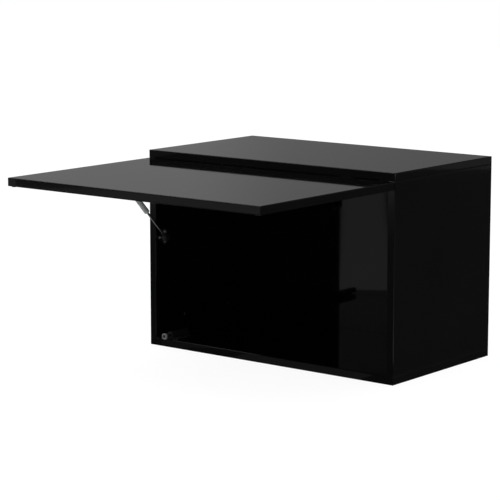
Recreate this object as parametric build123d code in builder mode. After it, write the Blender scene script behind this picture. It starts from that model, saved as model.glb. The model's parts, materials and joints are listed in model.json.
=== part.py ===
from build123d import *
import os
from math import hypot

os.makedirs("parts", exist_ok=True)

# Frame: origin at the centre of the carcass underside, +X right, +Y to the wall, +Z up.
# The door is modelled lifted to the horizontal, as it stands at rest.

# Carcass boards
width = 600.0
height = 400.0
depth = 334.0
board = 16.0
edge_radius = 1.0
back_thickness = 3.0
back_inset = 14.0
groove_depth = 8.0
groove_clearance = 0.1

# Fits
bore_clearance = 0.05
running_clearance = 0.05
seat_clearance = 0.3

# Dowels, cam locks and cam bolts between the boards
dowel_radius = 4.0
dowel_in_face = 10.0
dowel_in_end = 20.0
dowel_inset = 60.0
cam_inset = 95.0
cam_radius = 7.4
cam_height = 12.0
cam_setback = 34.0
cam_slot_length = 10.0
cam_slot_width = 1.6
cam_slot_depth = 2.0
bolt_thread_radius = 2.5
bolt_thread_length = 11.0
bolt_shaft_radius = 3.0
bolt_neck_radius = 1.8
bolt_neck_length = 4.0
bolt_head_radius = 3.2
bolt_head_length = 2.5
bolt_channel_radius = 3.5

# Door
door_height = 398.0
door_thickness = 16.0
door_rest_gap = 2.0
bumper_radius = 4.5
bumper_height = 1.5
bumper_inset = 10.0
bumper_edge = 7.0

# Concealed hinges
hinge_inset = 100.0
cup_radius = 17.5
cup_depth = 11.5
cup_wall = 1.0
cup_edge = 5.0
cup_flange = 0.8
cup_flange_length = 62.0
cup_flange_width = 17.0
cup_flange_offset = 5.5
cup_screw_spread = 24.0
cup_pin_setback = 11.0
cup_pin_depth = 4.0
cup_lug = 1.6
cup_lug_width = 7.0
cup_lug_lip = 1.2
hinge_pin_radius = 1.5
pin_press_clearance = 0.02
arm_pin_inset = 7.65
arm_pin_drop = 11.5
link_width = 14.0
link_thickness = 2.2
link_eye_radius = 2.9
link_dip = 4.2
link_side_gap = 0.6
arm_wall = 1.5
arm_nose = 4.4
arm_length = 75.0
arm_height = 14.0
arm_heel = 6.5
arm_web_setback = 13.0
arm_nose_radius = 4.0
plate_setback = 37.0
plate_length = 20.0
plate_width = 52.0
plate_base = 2.5
plate_corner = 6.0
plate_screw_spread = 16.0
boss_start = 24.0
boss_end = 72.0
boss_width = 14.0
arm_screw_setbacks = (32.0, 56.0)
arm_screw_radius = 2.8
arm_screw_head_radius = 4.2
arm_screw_head = 2.4
arm_screw_depth = 9.0

# Wood screws
screw_radius = 2.0
screw_depth = 11.0
screw_head_radius = 3.6
screw_head = 2.2

# Gas strut
strut_gap = 10.0
strut_foot_inset = 19.6
strut_foot_height = 221.2
strut_head_setback = 77.9
strut_head_drop = 45.5
rod_radius = 2.25
rod_exposed = 82.5
cylinder_radius = 5.5
cylinder_bore = 4.7
cylinder_end_wall = 2.0
guide_length = 5.0
piston_radius = 4.6
piston_length = 3.0
piston_gap = 0.5
ball_radius = 4.0
ball_neck_radius = 2.5
ball_collar_radius = 4.5
ball_collar = 1.5
socket_radius = 6.5
socket_width = 11.0
socket_neck_radius = 3.5
socket_neck_length = 15.0
socket_rod_start = 8.0
cylinder_tail = 8.0
bracket_thickness = 2.0
bracket_margin = 5.5
foot_screw_back = 6.6
foot_screw_front = 8.6
foot_screw_rise = 10.3
head_ear_gap = 8.0
head_flange_width = 24.0
head_flange_length = 40.0
head_ear_radius = 7.0
head_screw_spread = 13.0

# Push latch
latch_side_gap = 32.0
latch_axis_height = 8.0
latch_tip_radius = 6.25
latch_tip_length = 5.0
latch_tip_dimple = 3.2
latch_tip_dimple_depth = 1.5
latch_tip_reach = 14.0
latch_stem_radius = 3.5
latch_stem_end = 30.0
latch_housing_radius = 6.5
latch_housing_setback = 5.0
latch_housing_length = 53.0
latch_bore_end = 8.0
cradle_width = 34.0
cradle_setback = 8.0
cradle_length = 44.0
cradle_base = 2.5
cradle_saddle_width = 16.5
cradle_corner = 3.0
latch_screw_spread = 12.5
latch_screw_setback = 30.0
strike_radius = 8.0
strike_thickness = 1.0
strike_screw_radius = 1.5
strike_screw_head = 3.0

# Wall hangers
hanger_thickness = 18.0
hanger_length = 40.0
hanger_height = 58.0
hanger_top_gap = 2.0
hanger_corner = 2.0
hanger_screw_rise = 18.0
hanger_screw_setback = 30.0
hook_width = 10.0
hook_thickness = 2.5
hook_drop = 12.0
hook_lip = 14.0
hook_rear_gap = 2.0
hook_seat = 12.0
hook_window = 5.0
adjuster_radius = 3.5
adjuster_length = 4.0
adjuster_slot = 1.0
adjuster_rise = 12.0

# Places worked out from the sizes above
front_y = -depth / 2
rear_y = depth / 2
underside_z = height - board
floor_z = board
inner_x = width / 2 - board
side_mid_x = width / 2 - board / 2
hinge_x = width / 2 - hinge_inset
back_front_y = rear_y - back_inset - back_thickness
back_y = back_front_y + back_thickness / 2
groove_width = back_thickness + 2 * groove_clearance
door_rear_y = front_y - door_rest_gap
door_free_y = door_rear_y - door_height
door_low_z = underside_z - door_thickness
door_reveal = (height - door_height) / 2
cup_y = door_rear_y - cup_edge - cup_radius
cup_pin_y = door_rear_y - cup_pin_setback
cup_pin_z = door_low_z + cup_pin_depth
arm_pin_y = front_y + arm_pin_inset
arm_pin_z = underside_z - arm_pin_drop
arm_low_z = arm_pin_z - arm_heel
boss_low_z = arm_low_z + arm_wall
arm_inner = link_width / 2 + link_side_gap
arm_outer = arm_inner + arm_wall
foot_y = front_y + strut_foot_inset
foot_z = strut_foot_height
head_y = door_rear_y - strut_head_setback
head_z = door_low_z - strut_head_drop
strut_x = -inner_x + strut_gap
bracket_face_x = -inner_x + bracket_thickness
strut_length = hypot(head_y - foot_y, head_z - foot_z)
strut_direction = (0, (head_y - foot_y) / strut_length, (head_z - foot_z) / strut_length)
socket_depth = socket_width / 2 + ball_radius + running_clearance
cylinder_end = strut_length - cylinder_tail
rod_end = rod_exposed + guide_length + piston_gap
head_ear_x = strut_x + head_ear_gap
head_flange_x = head_ear_x + bracket_thickness + head_flange_width / 2
latch_x = -inner_x + latch_side_gap
latch_z = floor_z + latch_axis_height
cradle_y = front_y + cradle_setback + cradle_length / 2
strike_y = door_rear_y - (height - door_reveal - latch_z)
hanger_mid_x = inner_x - hanger_thickness / 2
hanger_top_z = underside_z - hanger_top_gap
hanger_mid_z = hanger_top_z - hanger_height / 2
hanger_front_y = back_front_y - hanger_length
hook_z = hanger_top_z - hook_drop
hook_mid_z = hook_z - hook_thickness / 2
hook_rear_y = rear_y - hook_rear_gap
sides = (("left", -1), ("right", 1))

# Places of the fasteners
dowel_rows = (front_y + dowel_inset, rear_y - dowel_inset)
cam_rows = (front_y + cam_inset, rear_y - cam_inset)
dowel_points = [(x, y) for x in (-side_mid_x, side_mid_x) for y in dowel_rows]
bolt_points = [(x, y) for x in (-side_mid_x, side_mid_x) for y in cam_rows]
cam_points = [(y, z) for y in cam_rows for z in (floor_z + cam_setback, underside_z - cam_setback)]
plate_screw_points = [(x + s * plate_screw_spread, front_y + plate_setback)
                      for x in (-hinge_x, hinge_x) for s in (-1, 1)]
arm_screw_points = [(x, front_y + y) for x in (-hinge_x, hinge_x) for y in arm_screw_setbacks]
cup_screw_points = [(x + s * cup_screw_spread, cup_y - cup_flange_offset)
                    for x in (-hinge_x, hinge_x) for s in (-1, 1)]
foot_screw_points = [(foot_y + foot_screw_back, foot_z + foot_screw_rise),
                     (foot_y + foot_screw_back, foot_z - foot_screw_rise),
                     (foot_y - foot_screw_front, foot_z)]
head_screw_points = [(head_flange_x, head_y + s * head_screw_spread) for s in (-1, 1)]
latch_screw_points = [(latch_x + s * latch_screw_spread, front_y + latch_screw_setback) for s in (-1, 1)]
bumper_points = [(s * (width / 2 - bumper_inset), door_free_y + bumper_edge) for s in (-1, 1)]
hanger_screw_points = [(back_front_y - hanger_screw_setback, hanger_mid_z + s * hanger_screw_rise)
                       for s in (-1, 1)]
adjuster_points = [(sx * hanger_mid_x, hanger_mid_z + sz * adjuster_rise)
                   for sx in (-1, 1) for sz in (-1, 1)]
hook_points = [(s * hanger_mid_x, hook_mid_z) for s in (-1, 1)]


def round_z(points, z, length, radius, mode=Mode.ADD):
    """Round bars or holes along Z, from height z, at each (x, y)."""
    with BuildSketch(Plane.XY.offset(z)) as outline:
        with Locations(*points):
            Circle(radius)
    extrude(outline.sketch, amount=length, mode=mode)


def round_x(points, x, length, radius, mode=Mode.ADD):
    """Round bars or holes along X, from x, at each (y, z)."""
    with BuildSketch(Plane.YZ.offset(x)) as outline:
        with Locations(*points):
            Circle(radius)
    extrude(outline.sketch, amount=length, mode=mode)


def round_y(points, y, length, radius, mode=Mode.ADD):
    """Round bars or holes along Y, from y, at each (x, z)."""
    with BuildSketch(Plane.XZ.offset(-y)) as outline:
        with Locations(*points):
            Circle(radius)
    extrude(outline.sketch, amount=-length, mode=mode)


def round_strut(start, end, radius, mode=Mode.ADD):
    """Round bar or hole along the strut, between two distances from its foot."""
    origin = (strut_x, foot_y + start * strut_direction[1], foot_z + start * strut_direction[2])
    with BuildSketch(Plane(origin=origin, x_dir=(1, 0, 0), z_dir=strut_direction)) as outline:
        Circle(radius)
    extrude(outline.sketch, amount=end - start, mode=mode)


def ball_stud(y, z, seat_x, towards):
    """Ball stud along X, from its seat to a ball in the strut's plane."""
    with BuildSketch(Plane(origin=(0, y, z), x_dir=(1, 0, 0), z_dir=(0, -1, 0))) as profile:
        with Locations((strut_x, 0)):
            Circle(ball_radius)
            Rectangle(2 * ball_radius, ball_radius, align=(Align.CENTER, Align.MAX), mode=Mode.SUBTRACT)
        with Locations(((seat_x + strut_x) / 2, ball_neck_radius / 2)):
            Rectangle(abs(strut_x - seat_x), ball_neck_radius)
        with Locations((seat_x + towards * ball_collar / 2, ball_collar_radius / 2)):
            Rectangle(ball_collar, ball_collar_radius)
    revolve(profile.sketch, axis=Axis((0, y, z), (1, 0, 0)))


def screws_z(points, seat_z, grip, towards):
    """Wood screws along Z: the head lies on seat_z and the shank runs through grip into the board."""
    round_z(points, seat_z, -towards * screw_head, screw_head_radius)
    round_z(points, seat_z, towards * (grip + screw_depth), screw_radius)


def pilot_z(points, face_z, towards, radius=screw_radius):
    """Pilot holes for wood screws in a board's face."""
    round_z(points, face_z, towards * (screw_depth + bore_clearance),
            radius + bore_clearance, Mode.SUBTRACT)


def board_joints(face_z, towards):
    """Bores for dowels and cam bolts, and the groove for the back panel, in a board's inner face."""
    round_z(dowel_points, face_z, towards * (dowel_in_face + bore_clearance),
            dowel_radius + bore_clearance, Mode.SUBTRACT)
    round_z(bolt_points, face_z, towards * (bolt_thread_length + bore_clearance),
            bolt_thread_radius + bore_clearance, Mode.SUBTRACT)
    with BuildSketch(Plane.XY.offset(face_z)) as groove:
        with Locations((0, back_y)):
            Rectangle(2 * (inner_x + groove_depth), groove_width)
    extrude(groove.sketch, amount=towards * groove_depth, mode=Mode.SUBTRACT)


def save(part, name):
    """Label a finished piece and write it."""
    part.label = name
    export_step(part, f"parts/{name}.step")


# Top and bottom panels
with BuildPart() as top_panel:
    with BuildSketch(Plane.XY.offset(underside_z)):
        Rectangle(width, depth)
    extrude(amount=board)
    fillet(top_panel.edges(), edge_radius)
    board_joints(underside_z, 1)
    pilot_z(plate_screw_points, underside_z, 1)
save(top_panel.part, "top_panel")

with BuildPart() as bottom_panel:
    with BuildSketch():
        Rectangle(width, depth)
    extrude(amount=board)
    fillet(bottom_panel.edges(), edge_radius)
    board_joints(floor_z, -1)
    pilot_z(latch_screw_points, floor_z, -1)
save(bottom_panel.part, "bottom_panel")

# Side panels, standing between the top and bottom panels
for side, sign in sides:
    with BuildPart() as side_panel:
        with BuildSketch(Plane.XY.offset(floor_z)):
            with Locations((sign * side_mid_x, 0)):
                Rectangle(board, depth)
        extrude(amount=underside_z - floor_z)
        fillet(side_panel.edges().filter_by(Axis.Z), edge_radius)
        own_dowels = [p for p in dowel_points if p[0] * sign > 0]
        own_bolts = [p for p in bolt_points if p[0] * sign > 0]
        for end_z, towards in ((floor_z, 1), (underside_z, -1)):
            round_z(own_dowels, end_z, towards * (dowel_in_end + bore_clearance),
                    dowel_radius + bore_clearance, Mode.SUBTRACT)
            round_z(own_bolts, end_z, towards * cam_setback, bolt_channel_radius, Mode.SUBTRACT)
        round_x(cam_points, sign * inner_x, sign * (cam_height + bore_clearance),
                cam_radius + bore_clearance, Mode.SUBTRACT)
        with BuildSketch(Plane.XY.offset(floor_z)):
            with Locations((sign * (inner_x + groove_depth / 2), back_y)):
                Rectangle(groove_depth, groove_width)
        extrude(amount=underside_z - floor_z, mode=Mode.SUBTRACT)
        pilots = hanger_screw_points + (foot_screw_points if sign < 0 else [])
        round_x(pilots, sign * inner_x, sign * (screw_depth + bore_clearance),
                screw_radius + bore_clearance, Mode.SUBTRACT)
    save(side_panel.part, f"{side}_side_panel")

# Back panel, held in the grooves, with a window for each wall hook
with BuildPart() as back_panel:
    with BuildSketch(Plane.XZ.offset(-back_front_y)):
        with Locations((0, height / 2)):
            Rectangle(2 * (inner_x + groove_depth - groove_clearance),
                      underside_z - floor_z + 2 * (groove_depth - groove_clearance))
        with Locations(*hook_points):
            Rectangle(hook_width + 2 * hook_window, hook_thickness + 2 * hook_window, mode=Mode.SUBTRACT)
    extrude(amount=-back_thickness)
save(back_panel.part, "back_panel")

# Dowels, cam bolts and cam locks in the four board corners
with BuildPart() as dowels:
    for end_z, towards in ((floor_z, 1), (underside_z, -1)):
        round_z(dowel_points, end_z - towards * dowel_in_face,
                towards * (dowel_in_face + dowel_in_end), dowel_radius)
save(dowels.part, "dowels")

with BuildPart() as cam_bolts:
    for end_z, towards in ((floor_z, 1), (underside_z, -1)):
        bolt_tip_z = end_z + towards * cam_setback
        round_z(bolt_points, end_z, -towards * bolt_thread_length, bolt_thread_radius)
        round_z(bolt_points, end_z, towards * (cam_setback - bolt_neck_length), bolt_shaft_radius)
        round_z(bolt_points, bolt_tip_z, -towards * bolt_neck_length, bolt_neck_radius)
        round_z(bolt_points, bolt_tip_z, towards * bolt_head_length, bolt_head_radius)
save(cam_bolts.part, "cam_bolts")

with BuildPart() as cam_locks:
    for sign in (-1, 1):
        round_x(cam_points, sign * inner_x, sign * cam_height, cam_radius)
        with BuildSketch(Plane.YZ.offset(sign * inner_x)):
            with Locations(*cam_points):
                Rectangle(cam_slot_length, cam_slot_width)
                Rectangle(cam_slot_width, cam_slot_length)
        extrude(amount=sign * cam_slot_depth, mode=Mode.SUBTRACT)
    for end_z, towards in ((floor_z, 1), (underside_z, -1)):
        round_z(bolt_points, end_z, towards * (cam_setback + bolt_head_length + bore_clearance),
                bolt_channel_radius, Mode.SUBTRACT)
save(cam_locks.part, "cam_locks")

# Door panel, lifted, with its inner face down
with BuildPart() as door_panel:
    with BuildSketch(Plane.XY.offset(door_low_z)):
        with Locations((0, door_rear_y - door_height / 2)):
            Rectangle(width, door_height)
    extrude(amount=door_thickness)
    fillet(door_panel.edges(), edge_radius)
    round_z([(-hinge_x, cup_y), (hinge_x, cup_y)], door_low_z, cup_depth + bore_clearance,
            cup_radius + bore_clearance, Mode.SUBTRACT)
    pilot_z(cup_screw_points, door_low_z, 1)
    pilot_z(head_screw_points, door_low_z, 1)
    pilot_z([(latch_x, strike_y)], door_low_z, 1, strike_screw_radius)
save(door_panel.part, "door_panel")

with BuildPart() as door_bumpers:
    round_z(bumper_points, door_low_z, -bumper_height, bumper_radius)
    fillet(door_bumpers.faces().sort_by(Axis.Z)[0:len(bumper_points)].edges(), bumper_height / 2)
save(door_bumpers.part, "door_bumpers")

# Concealed hinges
for side, sign in sides:
    middle_x = sign * hinge_x

    # Cup, let into the door, with two lugs that hold its pin
    with BuildPart() as hinge_cup:
        with BuildSketch(Plane.XY.offset(door_low_z - cup_flange)):
            with Locations((middle_x, cup_y - cup_flange_offset)):
                SlotOverall(cup_flange_length, cup_flange_width)
        extrude(amount=cup_flange)
        round_z([(middle_x, cup_y)], door_low_z, cup_depth, cup_radius)
        round_z([(middle_x, cup_y)], door_low_z - cup_flange, cup_depth + cup_flange - cup_wall,
                cup_radius - cup_wall, Mode.SUBTRACT)
        with BuildSketch(Plane.XY.offset(door_low_z + cup_lug_lip)):
            with Locations(*[(middle_x + s * (arm_inner + cup_lug / 2), cup_pin_y) for s in (-1, 1)]):
                Rectangle(cup_lug, cup_lug_width)
            with Locations((middle_x, cup_y)):
                Circle(cup_radius - cup_wall / 2, mode=Mode.INTERSECT)
        extrude(amount=cup_depth - cup_lug_lip - cup_wall / 2)
        round_x([(cup_pin_y, cup_pin_z)], middle_x - arm_inner - cup_lug, 2 * (arm_inner + cup_lug),
                hinge_pin_radius + pin_press_clearance, Mode.SUBTRACT)
        round_z([p for p in cup_screw_points if p[0] * sign > 0], door_low_z - cup_flange, cup_flange,
                screw_radius + bore_clearance, Mode.SUBTRACT)
    save(hinge_cup.part, f"hinge_cup_{side}")

    # Link, bent round the door's edge, with an eye on each pin
    with BuildPart() as hinge_link:
        dip_y = (arm_pin_y + cup_pin_y) / 2
        dip_z = door_low_z - link_dip
        with BuildSketch(Plane.YZ.offset(middle_x - link_width / 2)):
            with BuildLine():
                ThreePointArc((arm_pin_y, arm_pin_z), (dip_y, dip_z), (cup_pin_y, cup_pin_z))
            trace(line_width=link_thickness)
            with Locations((arm_pin_y, arm_pin_z), (cup_pin_y, cup_pin_z)):
                Circle(link_eye_radius)
            with Locations((arm_pin_y, arm_pin_z), (cup_pin_y, cup_pin_z)):
                Circle(hinge_pin_radius + running_clearance, mode=Mode.SUBTRACT)
        extrude(amount=link_width)
    save(hinge_link.part, f"hinge_link_{side}")

    # Arm, a channel that hangs on the mounting plate and holds the link's pin in its nose
    with BuildPart() as hinge_arm:
        for cheek_x in (middle_x - arm_outer, middle_x + arm_inner):
            with BuildSketch(Plane.YZ.offset(cheek_x)) as cheek:
                with Locations((arm_pin_y - arm_nose, arm_low_z)):
                    Rectangle(arm_length, arm_height, align=(Align.MIN, Align.MIN))
                fillet(cheek.vertices().group_by(Axis.Y)[0], arm_nose_radius)
            extrude(amount=arm_wall)
        with BuildSketch(Plane.XY.offset(arm_low_z)):
            with Locations((middle_x, front_y + arm_web_setback)):
                Rectangle(2 * arm_outer, arm_length - arm_web_setback + arm_pin_inset - arm_nose,
                          align=(Align.CENTER, Align.MIN))
        extrude(amount=arm_wall)
        round_x([(arm_pin_y, arm_pin_z)], middle_x - arm_outer, 2 * arm_outer,
                hinge_pin_radius + pin_press_clearance, Mode.SUBTRACT)
        own_screws = [p for p in arm_screw_points if p[0] * sign > 0]
        round_z(own_screws, arm_low_z, arm_wall, arm_screw_radius + bore_clearance, Mode.SUBTRACT)
    save(hinge_arm.part, f"hinge_arm_{side}")

    # Mounting plate under the top panel, with the boss that carries the arm
    with BuildPart() as hinge_plate:
        with BuildSketch(Plane.XY.offset(underside_z - plate_base)):
            with Locations((middle_x, front_y + plate_setback)):
                RectangleRounded(plate_width, plate_length, plate_corner)
        extrude(amount=plate_base)
        with BuildSketch(Plane.XY.offset(boss_low_z)):
            with Locations((middle_x, front_y + (boss_start + boss_end) / 2)):
                Rectangle(boss_width, boss_end - boss_start)
        extrude(amount=underside_z - boss_low_z)
        round_z(own_screws, boss_low_z, arm_screw_depth,
                arm_screw_radius + bore_clearance, Mode.SUBTRACT)
        round_z([p for p in plate_screw_points if p[0] * sign > 0], underside_z - plate_base, plate_base,
                screw_radius + bore_clearance, Mode.SUBTRACT)
    save(hinge_plate.part, f"hinge_plate_{side}")

with BuildPart() as hinge_arm_pins:
    for middle_x in (-hinge_x, hinge_x):
        round_x([(arm_pin_y, arm_pin_z)], middle_x - arm_outer, 2 * arm_outer, hinge_pin_radius)
save(hinge_arm_pins.part, "hinge_arm_pins")

with BuildPart() as hinge_cup_pins:
    for middle_x in (-hinge_x, hinge_x):
        round_x([(cup_pin_y, cup_pin_z)], middle_x - arm_inner - cup_lug, 2 * (arm_inner + cup_lug),
                hinge_pin_radius)
save(hinge_cup_pins.part, "hinge_cup_pins")

with BuildPart() as hinge_plate_screws:
    screws_z(plate_screw_points, underside_z - plate_base, plate_base, 1)
save(hinge_plate_screws.part, "hinge_plate_screws")

with BuildPart() as hinge_cup_screws:
    screws_z(cup_screw_points, door_low_z - cup_flange, cup_flange, 1)
save(hinge_cup_screws.part, "hinge_cup_screws")

with BuildPart() as hinge_arm_screws:
    round_z(arm_screw_points, arm_low_z, -arm_screw_head, arm_screw_head_radius)
    round_z(arm_screw_points, arm_low_z, arm_wall + arm_screw_depth, arm_screw_radius)
save(hinge_arm_screws.part, "hinge_arm_screws")

# Gas strut: bracket and ball stud on the left side panel
with BuildPart() as strut_side_bracket:
    with BuildSketch(Plane.YZ.offset(-inner_x)):
        with Locations(*foot_screw_points):
            Circle(bracket_margin)
        make_hull()
    extrude(amount=bracket_thickness)
    round_x(foot_screw_points, -inner_x, bracket_thickness, screw_radius + bore_clearance, Mode.SUBTRACT)
save(strut_side_bracket.part, "strut_side_bracket")

with BuildPart() as strut_bracket_screws:
    round_x(foot_screw_points, bracket_face_x, screw_head, screw_head_radius)
    round_x(foot_screw_points, bracket_face_x, -bracket_thickness - screw_depth, screw_radius)
save(strut_bracket_screws.part, "strut_bracket_screws")

with BuildPart() as strut_lower_stud:
    ball_stud(foot_y, foot_z, bracket_face_x, 1)
save(strut_lower_stud.part, "strut_lower_stud")

# Gas strut: rod side, which turns on the lower stud
with BuildPart() as strut_rod_socket:
    round_x([(foot_y, foot_z)], strut_x - socket_width / 2, socket_width, socket_radius)
    round_strut(socket_neck_radius, socket_neck_length, socket_neck_radius)
    round_x([(foot_y, foot_z)], strut_x - socket_width / 2, socket_depth,
            ball_radius + running_clearance, Mode.SUBTRACT)
    round_strut(socket_rod_start, socket_neck_length, rod_radius + bore_clearance, Mode.SUBTRACT)
save(strut_rod_socket.part, "strut_rod_socket")

with BuildPart() as strut_rod:
    round_strut(socket_rod_start, rod_end, rod_radius)
save(strut_rod.part, "strut_rod")

with BuildPart() as strut_piston:
    round_strut(rod_end, rod_end + piston_length, piston_radius)
save(strut_piston.part, "strut_piston")

# Gas strut: cylinder side, which slides on the rod
with BuildPart() as strut_cylinder:
    round_strut(rod_exposed, cylinder_end, cylinder_radius)
    round_strut(rod_exposed, cylinder_end - cylinder_end_wall, cylinder_bore, Mode.SUBTRACT)
save(strut_cylinder.part, "strut_cylinder")

with BuildPart() as strut_guide:
    round_strut(rod_exposed, rod_exposed + guide_length, cylinder_bore - bore_clearance)
    round_strut(rod_exposed, rod_exposed + guide_length, rod_radius + running_clearance, Mode.SUBTRACT)
save(strut_guide.part, "strut_guide")

with BuildPart() as strut_cylinder_socket:
    round_x([(head_y, head_z)], strut_x - socket_width / 2, socket_width, socket_radius)
    round_strut(cylinder_end, strut_length - ball_radius, socket_neck_radius)
    round_x([(head_y, head_z)], strut_x + socket_width / 2, -socket_depth,
            ball_radius + running_clearance, Mode.SUBTRACT)
save(strut_cylinder_socket.part, "strut_cylinder_socket")

with BuildPart() as strut_upper_stud:
    ball_stud(head_y, head_z, head_ear_x - seat_clearance, -1)
save(strut_upper_stud.part, "strut_upper_stud")

# Gas strut: angle bracket on the door
with BuildPart() as strut_door_bracket:
    with BuildSketch(Plane.YZ.offset(head_ear_x)):
        with Locations((head_y, head_z)):
            Circle(head_ear_radius)
        with Locations((head_y, door_low_z - bracket_thickness / 2)):
            Rectangle(head_flange_length, bracket_thickness)
        make_hull()
    extrude(amount=bracket_thickness)
    with BuildSketch(Plane.XY.offset(door_low_z)):
        with Locations((head_ear_x, head_y)):
            Rectangle(bracket_thickness + head_flange_width, head_flange_length,
                      align=(Align.MIN, Align.CENTER))
    extrude(amount=-bracket_thickness)
    round_z(head_screw_points, door_low_z, -bracket_thickness,
            screw_radius + bore_clearance, Mode.SUBTRACT)
save(strut_door_bracket.part, "strut_door_bracket")

with BuildPart() as strut_door_screws:
    screws_z(head_screw_points, door_low_z - bracket_thickness, bracket_thickness, 1)
save(strut_door_screws.part, "strut_door_screws")

# Push latch on the bottom panel
with BuildPart() as latch_cradle:
    with BuildSketch(Plane.XY.offset(floor_z)):
        with Locations((latch_x, cradle_y)):
            RectangleRounded(cradle_width, cradle_length, cradle_corner)
    extrude(amount=cradle_base)
    with BuildSketch(Plane.XY.offset(floor_z)):
        with Locations((latch_x, cradle_y)):
            Rectangle(cradle_saddle_width, cradle_length)
    extrude(amount=latch_axis_height)
    round_y([(latch_x, latch_z)], front_y + cradle_setback, cradle_length,
            latch_housing_radius + bore_clearance, Mode.SUBTRACT)
    round_z(latch_screw_points, floor_z, cradle_base, screw_radius + bore_clearance, Mode.SUBTRACT)
save(latch_cradle.part, "latch_cradle")

with BuildPart() as latch_housing:
    housing_y = front_y + latch_housing_setback
    round_y([(latch_x, latch_z)], housing_y, latch_housing_length, latch_housing_radius)
    round_y([(latch_x, latch_z)], housing_y, latch_housing_length - latch_bore_end,
            latch_stem_radius + running_clearance, Mode.SUBTRACT)
save(latch_housing.part, "latch_housing")

with BuildPart() as latch_screws:
    screws_z(latch_screw_points, floor_z + cradle_base, cradle_base, -1)
save(latch_screws.part, "latch_screws")

with BuildPart() as latch_plunger:
    stem_y = front_y - latch_tip_reach + latch_tip_length
    round_y([(latch_x, latch_z)], stem_y, front_y + latch_stem_end - stem_y, latch_stem_radius)
save(latch_plunger.part, "latch_plunger")

with BuildPart() as latch_tip:
    tip_y = front_y - latch_tip_reach
    round_y([(latch_x, latch_z)], tip_y, latch_tip_length, latch_tip_radius)
    round_y([(latch_x, latch_z)], tip_y, latch_tip_dimple_depth, latch_tip_dimple, Mode.SUBTRACT)
save(latch_tip.part, "latch_tip")

with BuildPart() as latch_strike:
    round_z([(latch_x, strike_y)], door_low_z, -strike_thickness, strike_radius)
    round_z([(latch_x, strike_y)], door_low_z, -strike_thickness,
            strike_screw_head + bore_clearance, Mode.SUBTRACT)
save(latch_strike.part, "latch_strike")

with BuildPart() as latch_strike_screw:
    round_z([(latch_x, strike_y)], door_low_z, -strike_thickness, strike_screw_head)
    round_z([(latch_x, strike_y)], door_low_z, screw_depth, strike_screw_radius)
save(latch_strike_screw.part, "latch_strike_screw")

# Wall hangers in the upper rear corners
for side, sign in sides:
    hanger_x = sign * hanger_mid_x
    with BuildPart() as hanger_housing:
        with BuildSketch(Plane.XY.offset(hanger_top_z - hanger_height)):
            with Locations((hanger_x, back_front_y - hanger_length / 2)):
                RectangleRounded(hanger_thickness, hanger_length, hanger_corner)
        extrude(amount=hanger_height)
        with BuildSketch(Plane.XZ.offset(-back_front_y)):
            with Locations((hanger_x, hook_mid_z)):
                Rectangle(hook_width + 2 * bore_clearance, hook_thickness + 2 * bore_clearance)
        extrude(amount=hook_seat, mode=Mode.SUBTRACT)
        round_x(hanger_screw_points, sign * inner_x, -sign * hanger_thickness,
                screw_radius + bore_clearance, Mode.SUBTRACT)
    save(hanger_housing.part, f"hanger_housing_{side}")

    with BuildPart() as hanger_hook:
        with BuildSketch(Plane.XZ.offset(-(back_front_y - hook_seat))):
            with Locations((hanger_x, hook_mid_z)):
                Rectangle(hook_width, hook_thickness)
        extrude(amount=-(hook_rear_y - back_front_y + hook_seat))
        with BuildSketch(Plane.XZ.offset(-hook_rear_y)):
            with Locations((hanger_x, hook_z)):
                Rectangle(hook_width, hook_lip, align=(Align.CENTER, Align.MAX))
        extrude(amount=hook_thickness)
    save(hanger_hook.part, f"hanger_hook_{side}")

with BuildPart() as hanger_screws:
    for sign in (-1, 1):
        seat_x = sign * (inner_x - hanger_thickness)
        round_x(hanger_screw_points, seat_x, -sign * screw_head, screw_head_radius)
        round_x(hanger_screw_points, seat_x, sign * (hanger_thickness + screw_depth), screw_radius)
save(hanger_screws.part, "hanger_screws")

with BuildPart() as hanger_adjusters:
    round_y(adjuster_points, hanger_front_y, -adjuster_length, adjuster_radius)
    with BuildSketch(Plane.XZ.offset(-(hanger_front_y - adjuster_length))):
        with Locations(*adjuster_points):
            Rectangle(2 * adjuster_radius, adjuster_slot)
    extrude(amount=-adjuster_length / 2, mode=Mode.SUBTRACT)
save(hanger_adjusters.part, "hanger_adjusters")
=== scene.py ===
"""Black high-gloss wall cabinet with a lift-up door: finishes, fine details and studio."""
import json
import logging
import math
from dataclasses import dataclass
from enum import Enum

import bmesh
import bpy
from mathutils import Matrix, Vector


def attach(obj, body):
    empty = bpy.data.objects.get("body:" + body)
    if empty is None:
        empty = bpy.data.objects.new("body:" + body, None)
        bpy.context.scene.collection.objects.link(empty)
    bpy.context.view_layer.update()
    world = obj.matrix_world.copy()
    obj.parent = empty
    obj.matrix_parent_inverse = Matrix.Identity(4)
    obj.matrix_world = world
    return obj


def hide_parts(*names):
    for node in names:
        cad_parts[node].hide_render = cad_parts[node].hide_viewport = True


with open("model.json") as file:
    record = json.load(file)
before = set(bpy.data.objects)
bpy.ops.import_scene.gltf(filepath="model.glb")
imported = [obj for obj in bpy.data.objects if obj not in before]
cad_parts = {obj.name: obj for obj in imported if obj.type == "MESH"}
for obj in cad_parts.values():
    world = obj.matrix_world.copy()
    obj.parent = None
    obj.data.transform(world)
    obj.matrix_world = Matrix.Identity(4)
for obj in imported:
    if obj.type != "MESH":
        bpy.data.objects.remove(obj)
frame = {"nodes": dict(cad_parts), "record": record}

LOG = logging.getLogger("wall_cabinet")
MM = 0.001
# Corners of a turned piece that lie closer than this, in metres, are one corner.
MERGE_DISTANCE = 1e-7
# An edge that bends by more than this stays crisp.
SHARP_ANGLE = math.radians(35)
# Faces round a bent wire.
WIRE_FACETS = 10
# Most values of a noise lie between these two, so colour and gloss are spread over them.
NOISE_LOW, NOISE_HIGH = 0.3, 0.7
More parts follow.
